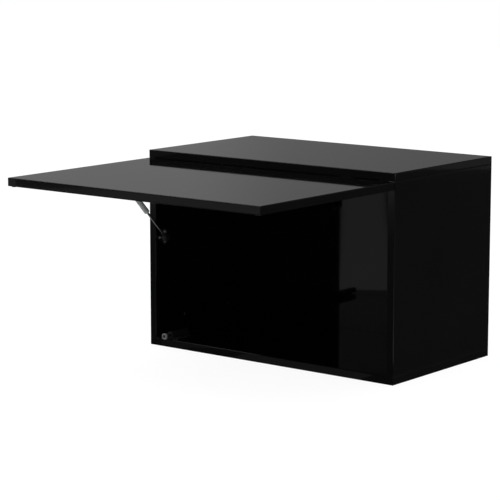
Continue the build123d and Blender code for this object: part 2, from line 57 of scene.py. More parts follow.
# Octaves of the two noises, and samples of a rounded edge.
GRAIN_DETAIL = 3.0
PATCH_DETAIL = 2.0
EDGE_SAMPLES = 6
# A face whose normal has a Z below this looks down.
LOOKS_DOWN = -0.5

Pair = tuple[float, float]
Point = tuple[float, float, float]


class Body(Enum):
    """Moving groups that carry the added pieces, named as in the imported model."""

    CARCASS = "carcass"
    DOOR = "door"
    ROD = "strut_rod"
    CYLINDER = "strut_cylinder"
    PLUNGER = "latch_plunger"


class Facing(Enum):
    """Directions that a turned piece's own +Z can be laid along."""

    UP = (0.0, 0.0, 1.0)
    DOWN = (0.0, 0.0, -1.0)
    RIGHT = (1.0, 0.0, 0.0)
    LEFT = (-1.0, 0.0, 0.0)
    FRONT = (0.0, -1.0, 0.0)

    def at(self, place: Point) -> Matrix:
        """Matrix that lays +Z along this direction at a place in millimetres."""
        return facing_matrix(Vector(self.value), place)


def facing_matrix(direction: Vector, place: Point) -> Matrix:
    """Lay a turned piece's own +Z along a direction.

    Args:
        direction: Where +Z points afterwards.
        place: Where the piece's origin goes, in millimetres.

    Returns:
        The matrix, in metres.
    """
    turn = direction.to_track_quat("Z", "Y").to_matrix().to_4x4()
    return Matrix.Translation(Vector(place) * MM) @ turn


def linear(colour: str) -> tuple[float, float, float, float]:
    """Turn an sRGB hex colour into linear light.

    Args:
        colour: Six hex digits after a hash sign.

    Returns:
        Linear red, green, blue and an alpha of 1.
    """
    parts = [int(colour[i:i + 2], 16) / 255 for i in (1, 3, 5)]
    light = [p / 12.92 if p <= 0.04045 else ((p + 0.055) / 1.055) ** 2.4 for p in parts]
    return (light[0], light[1], light[2], 1.0)


def empty_tree(owner: bpy.types.Material | bpy.types.World) -> bpy.types.NodeTree:
    """Clear the node tree of a new material or world.

    Args:
        owner: The material or world.

    Returns:
        Its node tree, with no nodes in it.
    """
    owner.use_nodes = True
    owner.node_tree.nodes.clear()
    return owner.node_tree


def add_node(tree: bpy.types.NodeTree, kind: str, values: dict | None = None,
             links: dict | None = None, **settings: object) -> bpy.types.Node:
    """Add a node with its settings and links.

    Args:
        tree: Node tree that gets the node.
        kind: Blender's name of the node's type.
        values: Numbers or colours for input sockets, by name or index.
        links: Output sockets to join to input sockets, by name or index.
        **settings: Properties of the node itself.

    Returns:
        The new node.
    """
    node = tree.nodes.new(kind)
    for key, value in settings.items():
        setattr(node, key, value)
    for key, value in (values or {}).items():
        node.inputs[key].default_value = value
    for key, socket in (links or {}).items():
        tree.links.new(socket, node.inputs[key])
    return node


def fill_ramp(ramp: bpy.types.ColorRamp, stops: dict[float, str]) -> None:
    """Set the colours of a ramp.

    Args:
        ramp: A new ramp.
        stops: sRGB hex colours by position, from low to high.
    """
    ramp.elements.remove(ramp.elements[1])
    for i, (position, colour) in enumerate(stops.items()):
        stop = ramp.elements.new(position) if i else ramp.elements[0]
        stop.position = position
        stop.color = linear(colour)


@dataclass(frozen=True)
class Finish:
    """A surface finish whose colour, gloss and relief all vary at real sizes.

    Attributes:
        name: What the material is and how its surface was made.
        shade: Darker of its two colours.
        tint: Lighter of its two colours.
        gloss: Lowest and highest roughness.
        grain_mm: Width of its fine grain.
        patch_mm: Width of its broad changes of colour.
        relief_mm: Height of the grain.
        metallic: 1 for bare metal.
        ior: Index of refraction; a metal keeps the default.
        stretch: How far the grain is drawn out along X, Y and Z.
        transmission: Share of light that passes through.
        edge_mm: Radius by which its edges look rounded.
    """

    name: str
    shade: str
    tint: str
    gloss: Pair
    grain_mm: float
    patch_mm: float
    relief_mm: float
    metallic: float = 0.0
    ior: float = 1.5
    stretch: Point = (1.0, 1.0, 1.0)
    transmission: float = 0.0
    edge_mm: float = 0.15

    def material(self) -> bpy.types.Material:
        """Build the node material, once.

        Returns:
            The material of this finish.
        """
        made = bpy.data.materials.get(self.name)
        if made:
            return made
        made = bpy.data.materials.new(self.name)
        tree = empty_tree(made)
        place = add_node(tree, "ShaderNodeTexCoord").outputs["Object"]
        squeeze = tuple(1 / s for s in self.stretch)
        drawn = add_node(tree, "ShaderNodeMapping", {"Scale": squeeze}, {"Vector": place})
        grain = add_node(tree, "ShaderNodeTexNoise",
                         {"Scale": 1 / (self.grain_mm * MM), "Detail": GRAIN_DETAIL},
                         {"Vector": drawn.outputs["Vector"]})
        patch = add_node(tree, "ShaderNodeTexNoise",
                         {"Scale": 1 / (self.patch_mm * MM), "Detail": PATCH_DETAIL},
                         {"Vector": place})
        colour = add_node(tree, "ShaderNodeValToRGB", links={"Fac": patch.outputs["Fac"]})
        fill_ramp(colour.color_ramp, {NOISE_LOW: self.shade, NOISE_HIGH: self.tint})
        rough = add_node(tree, "ShaderNodeMapRange",
                         {"From Min": NOISE_LOW, "From Max": NOISE_HIGH,
                          "To Min": self.gloss[0], "To Max": self.gloss[1]},
                         {"Value": grain.outputs["Fac"]})
        edge = add_node(tree, "ShaderNodeBevel", {"Radius": self.edge_mm * MM},
                        samples=EDGE_SAMPLES)
        relief = add_node(tree, "ShaderNodeBump",
                          {"Strength": 1.0, "Distance": self.relief_mm * MM},
                          {"Height": grain.outputs["Fac"], "Normal": edge.outputs["Normal"]})
        shader = add_node(tree, "ShaderNodeBsdfPrincipled",
                          {"Metallic": self.metallic, "IOR": self.ior,
                           "Transmission Weight": self.transmission},
                          {"Base Color": colour.outputs["Color"],
                           "Roughness": rough.outputs["Result"],
                           "Normal": relief.outputs["Normal"]})
        add_node(tree, "ShaderNodeOutputMaterial", links={"Surface": shader.outputs["BSDF"]})
        return made


# Black lacquer foil on board: mirror-like and almost colourless black, with the long soft
# waves of pressed foil and a faint haze where it was wiped.
LACQUER = Finish("black_gloss_lacquer_foil", "#030303", "#060607", (0.03, 0.06),
                 grain_mm=9.0, patch_mm=160.0, relief_mm=0.0006, edge_mm=2.4)
# Nickel plating on pressed steel: warm grey mirror, softened by the marks of the press.
NICKEL = Finish("nickel_plated_pressed_steel", "#a8a49c", "#bdb9b0", (0.2, 0.36),
                grain_mm=0.7, patch_mm=9.0, relief_mm=0.004, metallic=1.0)
# Bright zinc plating: cool grey with pale and bluish clouds.
ZINC = Finish("bright_zinc_plated_steel", "#9da3ab", "#bcbcb6", (0.22, 0.42),
              grain_mm=0.5, patch_mm=5.0, relief_mm=0.004, metallic=1.0)
# Black passivated zinc plating: charcoal with a dull metal gleam.
BLACK_ZINC = Finish("black_passivated_zinc_steel", "#1b1c1e", "#292a2c", (0.35, 0.5),
                    grain_mm=0.5, patch_mm=5.0, relief_mm=0.004, metallic=1.0)
# Zinc as it leaves the die: dull grey with a fine cast grain.
CASTING = Finish("bare_zinc_die_casting", "#86888b", "#9b9c9d", (0.4, 0.6),
                 grain_mm=0.8, patch_mm=6.0, relief_mm=0.02, metallic=1.0)
# Hard chrome, ground along its length: bright, with fine lines, drawn coarser than they are.
CHROME = Finish("ground_hard_chrome", "#c9cbce", "#dddee0", (0.06, 0.14), grain_mm=0.4,
                patch_mm=12.0, relief_mm=0.001, metallic=1.0, stretch=(1.0, 12.0, 12.0))
# Stoved silver-grey lacquer on drawn tube: pale and half glossy, with a fine metal fleck
# that is drawn coarser than it is.
TUBE_PAINT = Finish("stoved_silver_grey_lacquer", "#bcbec0", "#d0d1d3", (0.22, 0.34),
                    grain_mm=0.35, patch_mm=14.0, relief_mm=0.003, metallic=0.45)
# Moulded black nylon: near black, satin, with a spark-eroded grain.
BLACK_NYLON = Finish("moulded_black_nylon", "#131314", "#1b1b1c", (0.36, 0.5),
                     grain_mm=0.6, patch_mm=18.0, relief_mm=0.015, ior=1.53)
# Moulded black styrene: deep black and smooth, from a polished mould.
BLACK_STYRENE = Finish("moulded_black_styrene", "#030303", "#060606", (0.12, 0.2),
                       grain_mm=1.2, patch_mm=12.0, relief_mm=0.002, ior=1.59)
# Moulded grey nylon: mid grey, satin, with a soft moulded grain.
GREY_NYLON = Finish("moulded_grey_nylon", "#707273", "#818282", (0.28, 0.4),
                    grain_mm=0.6, patch_mm=12.0, relief_mm=0.01, ior=1.53)
# Cast polyurethane: smoky, see-through and soft, with a smooth skin.
SMOKY_BUMPER = Finish("cast_smoky_polyurethane", "#1c1c1d", "#2a2a2a", (0.12, 0.22),
                      grain_mm=1.5, patch_mm=6.0, relief_mm=0.004, transmission=0.6)
# Turned beech: pale pinkish brown, with grain drawn out along the dowel.
BEECH = Finish("turned_beech", "#b08a5c", "#caa676", (0.5, 0.7),
               grain_mm=0.7, patch_mm=7.0, relief_mm=0.05, stretch=(1.0, 1.0, 14.0))
# Black soft rubber: matt, with a dusty bloom.
RUBBER = Finish("moulded_black_rubber", "#09090a", "#111112", (0.65, 0.85),
                grain_mm=0.5, patch_mm=5.0, relief_mm=0.02, ior=1.52)

SLOT_FINISH: dict[str, Finish] = {
    "gloss_board": LACQUER,
    "back_board": LACQUER,
    "dowel_wood": BEECH,
    "zinc_casting": CASTING,
    "nickel_steel": NICKEL,
    "zinc_steel": ZINC,
    "strut_paint": TUBE_PAINT,
    "strut_chrome": CHROME,
    "black_nylon": BLACK_NYLON,
    "grey_nylon": GREY_NYLON,
    "bumper_clear": SMOKY_BUMPER,
}


def scaled(shares: tuple[Pair, ...], radius: float, height: float) -> list[Pair]:
    """Corners of a profile that is given in shares of a radius and a height."""
    return [(radius * across, height * up) for across, up in shares]


def turned(profile: list[Pair], facets: int) -> bmesh.types.BMesh:
    """Turn a profile once round Z.

    Args:
        profile: Radius and height of each corner, in millimetres.
        facets: Faces round the piece.

    Returns:
        The turned mesh, in metres.
    """
    mesh = bmesh.new()
    corners = [mesh.verts.new((r * MM, 0.0, z * MM)) for r, z in profile]
    edges = [mesh.edges.new(pair) for pair in zip(corners, corners[1:])]
    bmesh.ops.spin(mesh, geom=corners + edges, cent=(0, 0, 0), axis=(0, 0, 1), dvec=(0, 0, 0),
                   angle=math.tau, steps=facets, use_merge=True, use_duplicate=False)
    bmesh.ops.remove_doubles(mesh, verts=mesh.verts, dist=MERGE_DISTANCE)
    bmesh.ops.recalc_face_normals(mesh, faces=mesh.faces)
    return mesh


def bent_wire(ring_mm: float, wire_mm: float, angle: float, steps: int) -> bmesh.types.BMesh:
    """Bend round wire into an open ring round Z.

    Args:
        ring_mm: Radius of the wire's middle line.
        wire_mm: Radius of the wire.
        angle: How far the ring goes round.
        steps: Faces along the wire.

    Returns:
        The closed mesh of the wire, in metres.
    """
    mesh = bmesh.new()
    across = Matrix.Translation((ring_mm * MM, 0, 0)) @ Matrix.Rotation(math.pi / 2, 4, "X")
    bmesh.ops.create_circle(mesh, segments=WIRE_FACETS, radius=wire_mm * MM, matrix=across)
    bmesh.ops.spin(mesh, geom=mesh.verts[:] + mesh.edges[:], cent=(0, 0, 0), axis=(0, 0, 1),
                   dvec=(0, 0, 0), angle=angle, steps=steps, use_merge=False,
                   use_duplicate=False)
    bmesh.ops.holes_fill(mesh, edges=[e for e in mesh.edges if e.is_boundary], sides=0)
    bmesh.ops.recalc_face_normals(mesh, faces=mesh.faces)
    return mesh


def as_mesh(shape: bmesh.types.BMesh, name: str) -> bpy.types.Mesh:
    """Write a bmesh into a new mesh and free it.

    Args:
        shape: The bmesh.
        name: Name of the mesh.

    Returns:
        The new mesh.
    """
    mesh = bpy.data.meshes.new(name)
    shape.to_mesh(mesh)
    shape.free()
    return mesh


def copy_in(shape: bmesh.types.BMesh, master: bpy.types.Mesh, places: list[Matrix]) -> None:
    """Copy one mesh into a shape at several places, and remove the master.

    Args:
        shape: What the copies are added to.
        master: Mesh to copy.
        places: One matrix for each copy.
    """
    for place in places:
        before = len(shape.verts)
        shape.from_mesh(master)
        shape.verts.ensure_lookup_table()
        bmesh.ops.transform(shape, matrix=place, verts=shape.verts[before:])
    bpy.data.meshes.remove(master)


def repeated(master: bpy.types.Mesh, places: list[Matrix]) -> bmesh.types.BMesh:
    """Copy one mesh to several places, and remove the master.

    Args:
        master: Mesh to copy.
        places: One matrix for each copy.

    Returns:
        All the copies in one mesh.
    """
    shape = bmesh.new()
    copy_in(shape, master, places)
    return shape


def add_object(name: str, data: bpy.types.ID) -> bpy.types.Object:
    """Make an object and link it to the scene.

    Args:
        name: Name of the object.
        data: Its mesh, lamp or camera.

    Returns:
        The object.
    """
    made = bpy.data.objects.new(name, data)
    bpy.context.scene.collection.objects.link(made)
    return made


def piece(name: str, shape: bmesh.types.BMesh, finish: Finish, body: Body) -> bpy.types.Object:
    """Make an object of a finished shape and set it on its body.

    Args:
        name: Name of the piece.
        shape: Its mesh, in place.
        finish: Its surface.
        body: What it moves with.

    Returns:
        The object.
    """
    mesh = as_mesh(shape, name)
    mesh.shade_smooth()
    mesh.set_sharp_from_angle(angle=SHARP_ANGLE)
    mesh.materials.append(finish.material())
    made = add_object(name, mesh)
    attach(made, body.value)
    LOG.info("made %s with %d faces on %s", name, len(mesh.polygons), body.value)
    return made


def dress(*nodes: str) -> None:
    """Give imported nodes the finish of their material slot.

    Args:
        *nodes: Names of the nodes.
    """
    slots = {s["node"]: s["material_slot"] for s in frame["record"]["subparts"]}
    for node in nodes:
        finish = SLOT_FINISH[slots[node]]
        for held in frame["nodes"][node].material_slots:
            held.material = finish.material()
        LOG.info("dressed %s in %s", node, finish.name)


@dataclass
class Screw:
    """A pan-head screw with a cross recess.

    Attributes:
        head_radius: Radius of the head.
        head_height: Height of the head.
        shank_radius: Radius of the shank.
        shank_length: Length of the shank under the head.
        recess_span: Length of each arm of the cross, end to end.
        recess_width: Width of each arm.
        recess_depth: Depth of the cross.
        recess_taper: Size of the cross at its bottom, as a share of its mouth.
        crown: Outline of the head's top, in shares of its radius and height.
        point: Radius of the blunt point, as a share of the shank's.
        turn: Degrees by which each screw in a row is turned on from the last.
        facets: Faces round the screw.
    """

    head_radius: float = 3.6
    head_height: float = 2.2
    shank_radius: float = 2.0
    shank_length: float = 13.0
    recess_span: float = 3.8
    recess_width: float = 1.0
    recess_depth: float = 1.4
    recess_taper: float = 0.6
    crown: tuple[Pair, ...] = ((0.0, 1.0), (0.45, 0.97), (0.75, 0.82), (0.93, 0.52), (1.0, 0.2))
    point: float = 0.4
    turn: float = 37.0
    facets: int = 28

    def profile(self) -> list[Pair]:
        """Draw the screw's half outline.

        Returns:
            Its corners, from the crown of the head to the point of the shank.
        """
        head = scaled(self.crown, self.head_radius, self.head_height)
        r, length = self.shank_radius, self.shank_length
        return head + [(self.head_radius, 0.0), (r, 0.0), (r, r - length),
                       (r * self.point, -length), (0.0, -length)]

    def cutter(self) -> bmesh.types.BMesh:
        """Make the cross of two tapered bars that cuts the recess.

        Returns:
            The cross, with its middle at the top of the head.
        """
        shape = bmesh.new()
        size = Matrix.Diagonal((self.recess_span * MM, self.recess_width * MM,
                                2 * self.recess_depth * MM, 1.0))
        lift = Matrix.Translation((0, 0, self.head_height * MM))
        for turn in (0.0, math.pi / 2):
            place = Matrix.Rotation(turn, 4, "Z") @ lift @ size
            bar = bmesh.ops.create_cube(shape, size=1.0, matrix=place)
            low = [v for v in bar["verts"] if v.co.z < self.head_height * MM]
            bmesh.ops.scale(shape, vec=(self.recess_taper, self.recess_taper, 1.0), verts=low)
        return shape

    def master(self) -> bpy.types.Mesh:
        """Turn the screw and cut its recess.

        Returns:
            Mesh of one screw, its head's seat at the origin and its head along +Z.
        """
        blank = as_mesh(turned(self.profile(), self.facets), "screw_blank")
        body = add_object("screw_blank", blank)
        tool = add_object("recess_tool", as_mesh(self.cutter(), "recess_tool"))
        cut = body.modifiers.new("recess", "BOOLEAN")
        cut.object = tool
        cut.use_self = True
        bpy.context.view_layer.update()
        depsgraph = bpy.context.evaluated_depsgraph_get()
        made = bpy.data.meshes.new_from_object(body.evaluated_get(depsgraph))
        for part in (body, tool):
            bpy.data.objects.remove(part)
        return made

    def drive(self, node: str, facing: Facing, seats: list[Point], body: Body,
              finish: Finish = ZINC) -> None:
        """Put a screw on each seat, each turned on from the last.

        Args:
            node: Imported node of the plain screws.
            facing: Where the heads point.
            seats: Middle of each head's seat.
            body: What the screws move with.
            finish: Their plating.
        """
        places = [facing.at(seat) @ Matrix.Rotation(math.radians(self.turn * i), 4, "Z")
                  for i, seat in enumerate(seats)]
        self.drive_at(node, places, body, finish)

    def drive_at(self, node: str, places: list[Matrix], body: Body,
                 finish: Finish = ZINC) -> None:
        """Put a screw at each place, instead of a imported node's plain screws.

        Args:
            node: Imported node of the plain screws.
            places: Matrix of each screw.
            body: What the screws move with.
            finish: Their plating.
        """
        shape = repeated(self.master(), places)
        made = piece(f"{node}_crossed", shape, finish, body)
        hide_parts(node)


@dataclass
class Carcass:
    """Boards of the box and what joins them.

    Attributes:
        inner_x: Half the clear width between the side panels.
        cam_y: Places of the cam locks along the depth.
        cam_z: Places of the cam locks up the side panels.
        cap_radius: Radius of the caps over the cam locks.
        cap_height: Height of the caps.
        cap_dome: Outline of a cap, in shares of its radius and height.
        cap_facets: Faces round a cap.
    """

    inner_x: float = 284.0
    cam_y: Pair = (-72.0, 72.0)
    cam_z: Pair = (50.0, 350.0)
    cap_radius: float = 8.6
    cap_height: float = 1.3
    cap_dome: tuple[Pair, ...] = ((0.0, 0.86), (0.5, 0.9), (0.8, 1.0), (0.94, 0.78), (1.0, 0.35),
                                  (1.0, 0.0), (0.0, 0.0))
    cap_facets: int = 40

    def build(self) -> None:
        """Dress the boards and cap the cam locks."""
        dress("top_panel", "bottom_panel", "left_side_panel", "right_side_panel", "back_panel",
              "dowels", "cam_locks", "cam_bolts")
        self.cap_locks()

    def cap_locks(self) -> None:
        """Press a domed cap over each cam lock."""
        profile = scaled(self.cap_dome, self.cap_radius, self.cap_height)
        cap = as_mesh(turned(profile, self.cap_facets), "cam_cap")
        places = [facing.at((x, y, z))
                  for facing, x in ((Facing.RIGHT, -self.inner_x), (Facing.LEFT, self.inner_x))
                  for y in self.cam_y for z in self.cam_z]
        piece("cam_lock_caps", repeated(cap, places), BLACK_STYRENE, Body.CARCASS)


@dataclass
class CupHinges:
    """Pair of concealed hinges between the top panel and the door.

    Attributes:
        places_x: Middle of each hinge.
        plate_y: Line of the mounting plates' screws.
        plate_z: Underside of the mounting plates.
        plate_spread: From a hinge's middle to each plate screw.
        cup_y: Middle of the cups.
        door_z: Inner face of the lifted door.
        flange: Thickness of the cups' flanges.
        flange_y: Line of the flanges' screws.
        flange_spread: From a hinge's middle to each flange screw.
        arm_y: Places of the arm screws along each arm.
        arm_z: Underside of the arms.
        rim_inner: Inner radius of the cup's rim.
        rim_outer: Outer radius of the cup's rim.
        rim_nose: Width of the steep outermost part of the rim's rounding.
        rim_round: Width of the whole rounding.
        rim_facets: Faces round a rim.
    """

    places_x: Pair = (-200.0, 200.0)
    plate_y: float = -130.0
    plate_z: float = 381.5
    plate_spread: float = 16.0
    cup_y: float = -191.5
    door_z: float = 368.0
    flange: float = 0.8
    flange_y: float = -197.0
    flange_spread: float = 24.0
    arm_y: Pair = (-135.0, -111.0)
    arm_z: float = 366.0
    rim_inner: float = 16.5
    rim_outer: float = 18.7
    rim_nose: float = 0.25
    rim_round: float = 0.7
    rim_facets: int = 64

    def build(self) -> None:
        """Dress the hinges, roll their rims and drive their screws."""
        for side in ("left", "right"):
            dress(f"hinge_arm_{side}", f"hinge_plate_{side}", f"hinge_link_{side}",
                  f"hinge_cup_{side}")
        dress("hinge_arm_pins", "hinge_cup_pins")
        self.roll_rims()
        self.drive_screws()

    def roll_rims(self) -> None:
        """Lay a rolled rim round the mouth of each cup."""
        a, b, t = self.rim_inner, self.rim_outer, self.flange
        profile = [(a, 0.0), (a, t * 0.6), (a + self.rim_nose, t * 0.95), (a + self.rim_round, t),
                   (b - self.rim_round, t), (b - self.rim_nose, t * 0.8), (b, t * 0.3), (b, 0.0),
                   (a, 0.0)]
        rim = as_mesh(turned(profile, self.rim_facets), "cup_rim")
        places = [Facing.DOWN.at((x, self.cup_y, self.door_z)) for x in self.places_x]
        piece("hinge_cup_rims", repeated(rim, places), NICKEL, Body.DOOR)

    def drive_screws(self) -> None:
        """Drive the screws of plates, cups and arms."""
        pairs = [(x, s) for x in self.places_x for s in (-1, 1)]
        cup_z = self.door_z - self.flange
        Screw(shank_length=13.5).drive(
            "hinge_plate_screws", Facing.DOWN,
            [(x + s * self.plate_spread, self.plate_y, self.plate_z) for x, s in pairs],
            Body.CARCASS)
        Screw(shank_length=11.8).drive(
            "hinge_cup_screws", Facing.DOWN,
            [(x + s * self.flange_spread, self.flange_y, cup_z) for x, s in pairs], Body.DOOR)
        Screw(head_radius=4.2, head_height=2.4, shank_radius=2.8, shank_length=10.5,
              recess_span=4.6, recess_width=1.2).drive(
            "hinge_arm_screws", Facing.DOWN,
            [(x, y, self.arm_z) for x in self.places_x for y in self.arm_y], Body.CARCASS)


@dataclass
class Door:
    """Lift-up door and what is fixed to it.

    Attributes:
        inner_z: Inner face of the lifted door.
        strike: Place of the latch's strike plate on that face.
    """

    inner_z: float = 368.0
    strike: Pair = (-252.0, -544.0)

    def build(self) -> None:
        """Dress the door and fix its strike plate."""
        dress("door_panel", "door_bumpers", "latch_strike")
        Screw(head_radius=3.0, head_height=1.0, shank_radius=1.5, shank_length=11.0,
              recess_span=3.0, recess_width=0.8, recess_depth=0.7).drive(
            "latch_strike_screw", Facing.DOWN, [(*self.strike, self.inner_z)], Body.DOOR)


@dataclass
class GasStrut:
    """Gas strut on the left, from the side panel to the door.

    Attributes:
        plane_x: Plane in which the strut swings.
        foot: Depth and height of the lower ball.
        head: Depth and height of the upper ball.
        mouth: From the lower ball to the cylinder's open end.
        tube_radius: Outer radius of the cylinder.
        rod_radius: Radius of the rod.
        rod_gap: Gap between the rod and the rolled end.
        bead: From the open end to the bead that holds the guide.
        ring_facets: Faces round the rolled end and the bead.
        socket_radius: Outer radius of the ball sockets.
        clip_wire: Radius of the sockets' spring wire.
        clip_grip: Distance of the wire's middle from the socket, in radii of the wire.
        clip_offset: From the strut's plane to each clip.
        clip_sweep: Degrees that a clip goes round.
        clip_turn: Degrees by which its opening is turned.
        clip_steps: Faces along a clip.
        bracket_x: Face of the bracket on the side panel.
        bracket_screws: Depth and height of that bracket's screws.
        door_plate_z: Underside of the bracket on the door.
        door_screw_x: Line of that bracket's screws.
        door_screw_spread: From the upper ball to each of them.
    """

    plane_x: float = -274.0
    foot: Pair = (-147.4, 221.2)
    head: Pair = (-246.9, 322.5)
    mouth: float = 82.5
    tube_radius: float = 5.5
    rod_radius: float = 2.25
    rod_gap: float = 0.4
    bead: float = 6.0
    ring_facets: int = 48
    socket_radius: float = 6.5
    clip_wire: float = 0.55
    clip_grip: float = 0.8
    clip_offset: float = 2.2
    clip_sweep: float = 285.0
    clip_turn: float = 35.0
    clip_steps: int = 44
    bracket_x: float = -282.0
    bracket_screws: tuple[Pair, ...] = ((-140.8, 231.5), (-140.8, 210.9), (-156.0, 221.2))
    door_plate_z: float = 366.0
    door_screw_x: float = -252.0
    door_screw_spread: float = 13.0

    def along(self, distance: float) -> Matrix:
        """Lay +Z up the strut.

        Args:
            distance: How far from the lower ball, in millimetres.

        Returns:
            The matrix, in metres.
        """
        rise = Vector((0.0, self.head[0] - self.foot[0], self.head[1] - self.foot[1]))
        line = rise.normalized()
        start = Vector((self.plane_x, *self.foot)) + line * distance
        return facing_matrix(line, tuple(start))

    def build(self) -> None:
        """Dress the strut and add its rolled end, bead, clips and screws."""
        dress("strut_side_bracket", "strut_lower_stud", "strut_rod", "strut_rod_socket",
              "strut_piston", "strut_cylinder", "strut_guide", "strut_cylinder_socket",
              "strut_upper_stud", "strut_door_bracket")
        self.roll_end()
        self.clip_sockets()
        Screw().drive("strut_bracket_screws", Facing.RIGHT,
                      [(self.bracket_x, y, z) for y, z in self.bracket_screws], Body.CARCASS)
        door_y = [self.head[0] + s * self.door_screw_spread for s in (-1, 1)]
        Screw().drive("strut_door_screws", Facing.DOWN,
                      [(self.door_screw_x, y, self.door_plate_z) for y in door_y], Body.DOOR)

    def roll_end(self) -> None:
        """Roll the tube's end in over its guide, and a bead behind it."""
        r, hole = self.tube_radius, self.rod_radius + self.rod_gap
        lip = [(hole, 0.0), (hole, -0.7), (r * 0.62, -1.25), (r * 0.84, -1.1), (r * 0.97, -0.5),
               (r, 0.0), (hole, 0.0)]
        bead = [(r - 0.2, -0.9), (r + 0.12, -0.6), (r + 0.28, 0.0), (r + 0.12, 0.6),
                (r - 0.2, 0.9), (r - 0.2, -0.9)]
        shape = bmesh.new()
        for profile, distance in ((lip, self.mouth), (bead, self.mouth + self.bead)):
            ring = as_mesh(turned(profile, self.ring_facets), "strut_ring")
            copy_in(shape, ring, [self.along(distance)])
        piece("strut_rolled_end", shape, TUBE_PAINT, Body.CYLINDER)

    def clip_sockets(self) -> None:
        """Snap a spring wire round each ball socket."""
        turn = Matrix.Rotation(math.radians(self.clip_turn), 4, "Z")
        radius = self.socket_radius + self.clip_wire * self.clip_grip
        ends = (("strut_lower_clip", self.foot, -self.clip_offset, Body.ROD),
                ("strut_upper_clip", self.head, self.clip_offset, Body.CYLINDER))
        for name, (y, z), offset, body in ends:
            wire = bent_wire(radius, self.clip_wire, math.radians(self.clip_sweep),
                             self.clip_steps)
            place = Facing.RIGHT.at((self.plane_x + offset, y, z)) @ turn
            bmesh.ops.transform(wire, matrix=place, verts=wire.verts)
            piece(name, wire, ZINC, body)


@dataclass
class PushLatch:
    """Push latch on the bottom panel, at the front left.

    Attributes:
        axis: Place of its middle line, across and up.
        tip_y: Front of the tip.
        tip_radius: Outer radius of the tip.
        tip_length: Length of the tip.
        tip_chamfer: Chamfer round the back of the tip.
        tip_facets: Faces round the tip.
        dimple: Radius of the tip's dimple.
        dimple_depth: Depth of the dimple.
        ring_fall: How far the rounded ring falls away on both sides of its crest.
        ring_steps: Faces across the ring.
        pad_gap: Gap between the pad and the dimple's wall.
        pad_rise: Height of the pad, as a share of the dimple's depth.
        pad_dome: Outline of the pad, in shares of its radius and height.
        pad_facets: Faces round the pad.
        mouth_y: Front of the housing.
        bore: Radius of the housing's bore.
        bezel: Outer radius of the housing's bezel.
        bezel_facets: Faces round the bezel.
        screw_y: Line of the cradle's screws.
        screw_z: Upper face of the cradle's base.
        screw_spread: From the middle line to each screw.
    """

    axis: Pair = (-252.0, 24.0)
    tip_y: float = -181.0
    tip_radius: float = 6.25
    tip_length: float = 5.0
    tip_chamfer: float = 0.7
    tip_facets: int = 48
    dimple: float = 3.2
    dimple_depth: float = 1.5
    ring_fall: float = 0.9
    ring_steps: int = 20
    pad_gap: float = 0.08
    pad_rise: float = 0.7
    pad_dome: tuple[Pair, ...] = ((0.0, 1.0), (0.6, 0.96), (0.9, 0.75), (1.0, 0.4), (1.0, 0.0),
                                  (0.0, 0.0))
    pad_facets: int = 36
    mouth_y: float = -162.0
    bore: float = 3.55
    bezel: float = 7.3
    bezel_facets: int = 44
    screw_y: float = -137.0
    screw_z: float = 18.5
    screw_spread: float = 12.5

    def build(self) -> None:
        """Dress the latch, set its tip, pad and bezel and drive its screws."""
        dress("latch_cradle", "latch_housing", "latch_plunger")
        self.round_tip()
        self.set_pad()
        self.set_bezel()
        Screw(shank_length=13.5).drive(
            "latch_screws", Facing.UP,
            [(self.axis[0] + s * self.screw_spread, self.screw_y, self.screw_z) for s in (-1, 1)],
            Body.CARCASS, BLACK_ZINC)

    def facing_front(self, profile: list[Pair], facets: int, y: float) -> bmesh.types.BMesh:
        """Turn a profile round the latch's middle line.

        Args:
            profile: Radius and height of each corner, the height towards the front.
            facets: Faces round the piece.
            y: Where the height is 0.

        Returns:
            The turned mesh, in place.
        """
        shape = turned(profile, facets)
        place = Facing.FRONT.at((self.axis[0], y, self.axis[1]))
        bmesh.ops.transform(shape, matrix=place, verts=shape.verts)
        return shape

    def round_tip(self) -> None:
        """Mould the tip with a rounded ring round its dimple, in place of the plain one."""
        r, d, length = self.tip_radius, self.dimple, self.tip_length
        crest, half = (r + d) / 2, (r - d) / 2
        angles = [math.radians(180 / self.ring_steps * i - 90) for i in range(self.ring_steps + 1)]
        ring = [(crest + half * math.sin(a), -self.ring_fall * (1 - math.cos(a))) for a in angles]
        profile = [(0.0, -self.dimple_depth), (d, -self.dimple_depth), *ring,
                   (r, self.tip_chamfer - length), (r - self.tip_chamfer, -length), (0.0, -length)]
        shape = self.facing_front(profile, self.tip_facets, self.tip_y)
        made = piece("latch_tip_rounded", shape, GREY_NYLON, Body.PLUNGER)
        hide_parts("latch_tip")

    def set_pad(self) -> None:
        """Set a rubber pad in the tip's dimple."""
        profile = scaled(self.pad_dome, self.dimple - self.pad_gap,
                         self.dimple_depth * self.pad_rise)
        shape = self.facing_front(profile, self.pad_facets, self.tip_y + self.dimple_depth)
        piece("latch_tip_pad", shape, RUBBER, Body.PLUNGER)

    def set_bezel(self) -> None:
        """Set a thin bezel on the housing's mouth."""
        a, b = self.bore, self.bezel
        profile = [(a, 0.0), (a, 0.3), (a + 0.3, 0.5), (b - 0.4, 0.5), (b, 0.25), (b, 0.0),
                   (a, 0.0)]
        shape = self.facing_front(profile, self.bezel_facets, self.mouth_y)
        piece("latch_bezel", shape, BLACK_NYLON, Body.CARCASS)


